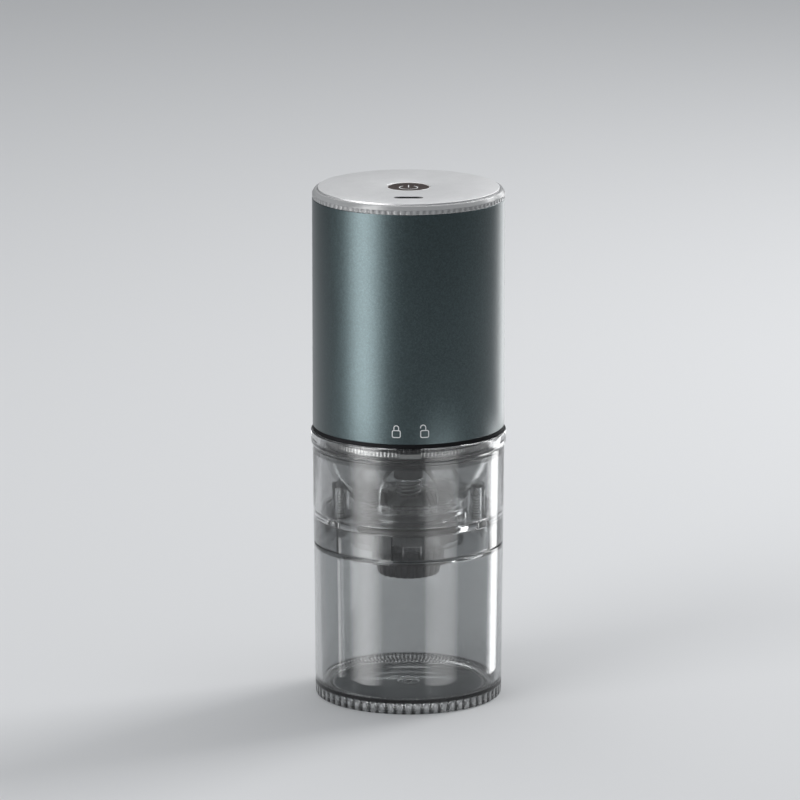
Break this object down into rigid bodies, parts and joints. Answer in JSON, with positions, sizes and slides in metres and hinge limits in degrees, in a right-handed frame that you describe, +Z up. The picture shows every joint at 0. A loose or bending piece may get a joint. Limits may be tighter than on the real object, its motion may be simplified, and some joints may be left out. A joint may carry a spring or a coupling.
{
  "type": "electric spice grinder",
  "caption": "Cordless burr grinder: round motor body with a lid button and charging port, a clear hopper with a conical burr set, and a clear ribbed cup, joined by bayonets.",
  "frame": {"origin": "centre of the footprint, on the surface that the grinder stands on", "axes": "+Z up along the grinder's axis, -Y towards the side with the charging port and the lock signs, +X to the right seen from there"},
  "size_m": [0.0712, 0.0712, 0.1891],
  "materials": {
    "clear_cup": "clear smoky plastic, polished",
    "clear_hopper": "clear smoky plastic, polished",
    "clear_bowl": "clear plastic, polished",
    "ceramic": "fired ceramic, matt",
    "steel": "bright steel",
    "black_plastic": "moulded, satin",
    "grey_plastic": "moulded, translucent grey",
    "frame_plastic": "moulded, natural",
    "seal": "soft translucent silicone",
    "brass": "turned",
    "bronze": "sintered bronze",
    "zinc": "die cast",
    "acetal": "moulded acetal",
    "cell_wrap": "shrink wrap",
    "nickel": "nickel plated",
    "board": "green solder mask",
    "wire": "insulated wire",
    "led": "clear resin",
    "teal_paint": "satin metallic coat",
    "lid_rim": "clear frosted plastic",
    "lid_metal": "fine blasted",
    "trim": "white light ring",
    "button": "dark brown, glossy"
  },
  "bodies": {
    "cup": {"grounds_cup": "clear_cup"},
    "hopper": {"hopper_wall": "clear_hopper", "bean_bowl": "clear_bowl", "carrier_screws": "steel", "ring_burr": "ceramic", "bearing_bridge": "clear_bowl", "bearing_hub": "black_plastic"},
    "spindle": {"spindle_shaft": "steel", "drive_head": "black_plastic", "thrust_washer": "steel", "retaining_clip": "steel", "burr_spring": "steel"},
    "burr": {"inner_burr": "ceramic", "burr_washer": "steel"},
    "knob": {"adjust_knob": "black_plastic", "knob_nut": "brass"},
    "motor_unit": {"bayonet_ring": "grey_plastic", "hopper_seal": "seal", "base_cover": "black_plastic", "frame_screws": "steel", "gearbox_screws": "steel", "gear_housing": "zinc", "output_bush": "bronze", "output_washer": "steel", "motor_plate": "steel", "motor_screws": "steel", "motor_can": "nickel", "motor_endcap": "black_plastic", "motor_terminals": "nickel", "motor_leads": "wire", "inner_frame": "frame_plastic", "battery_cells": "cell_wrap", "battery_contacts": "nickel", "control_board": "board", "board_screws": "steel", "tact_switch": "black_plastic", "indicator_led": "led", "usb_c_socket": "nickel", "body_shell": "teal_paint", "lid_rim": "lid_rim", "lid_plate": "lid_metal", "button_ring": "trim"},
    "output": {"planet_carrier": "zinc", "drive_coupler": "black_plastic"},
    "planet_1": {"planet_gear_1": "acetal"},
    "planet_2": {"planet_gear_2": "acetal"},
    "planet_3": {"planet_gear_3": "acetal"},
    "rotor": {"sun_pinion": "brass", "motor_shaft": "steel"},
    "button": {"power_button": "button"}
  },
  "joints": [
    {"name": "hopper_twist", "type": "hinge", "parent": "cup", "child": "hopper", "pos_m": [0, 0, 0], "axis": [0, 0, 1], "range_deg": [0, 32]},
    {"name": "motor_twist", "type": "hinge", "parent": "hopper", "child": "motor_unit", "pos_m": [0, 0, 0], "axis": [0, 0, 1], "range_deg": [-17, 0]},
    {"name": "button_press", "type": "slide", "parent": "motor_unit", "child": "button", "axis": [0, 0, 1], "range_m": [-0.0005, 0], "stiffness_N_per_m": 800},
    {"name": "output_spin", "type": "hinge", "parent": "motor_unit", "child": "output", "pos_m": [0, 0, 0.1], "axis": [0, 0, 1], "continuous": true},
    {"name": "rotor_spin", "type": "hinge", "parent": "motor_unit", "child": "rotor", "pos_m": [0, 0, 0.1], "axis": [0, 0, 1], "continuous": true},
    {"name": "planet_1_spin", "type": "hinge", "parent": "output", "child": "planet_1", "pos_m": [0.0075, 0, 0.1], "axis": [0, 0, 1], "continuous": true},
    {"name": "planet_2_spin", "type": "hinge", "parent": "output", "child": "planet_2", "pos_m": [-0.00375, 0.0065, 0.1], "axis": [0, 0, 1], "continuous": true},
    {"name": "planet_3_spin", "type": "hinge", "parent": "output", "child": "planet_3", "pos_m": [-0.00375, -0.0065, 0.1], "axis": [0, 0, 1], "continuous": true},
    {"name": "spindle_spin", "type": "hinge", "parent": "hopper", "child": "spindle", "pos_m": [0, 0, 0], "axis": [0, 0, 1], "continuous": true},
    {"name": "burr_slide", "type": "slide", "parent": "spindle", "child": "burr", "axis": [0, 0, 1], "range_m": [-0.0004, 0.0004], "deforming": ["burr_spring"]},
    {"name": "grind_adjust", "type": "hinge", "parent": "burr", "child": "knob", "pos_m": [0, 0, 0], "axis": [0, 0, 1], "range_deg": [-144, 144]}
  ],
  "couplings": [
    {"joint": "output_spin", "follows": "spindle_spin", "ratio": 1},
    {"joint": "rotor_spin", "follows": "spindle_spin", "ratio": 5},
    {"joint": "planet_1_spin", "follows": "spindle_spin", "ratio": -2.6667},
    {"joint": "planet_2_spin", "follows": "spindle_spin", "ratio": -2.6667},
    {"joint": "planet_3_spin", "follows": "spindle_spin", "ratio": -2.6667},
    {"joint": "burr_slide", "follows": "grind_adjust", "m_per_rad": 0.00015915}
  ]
}
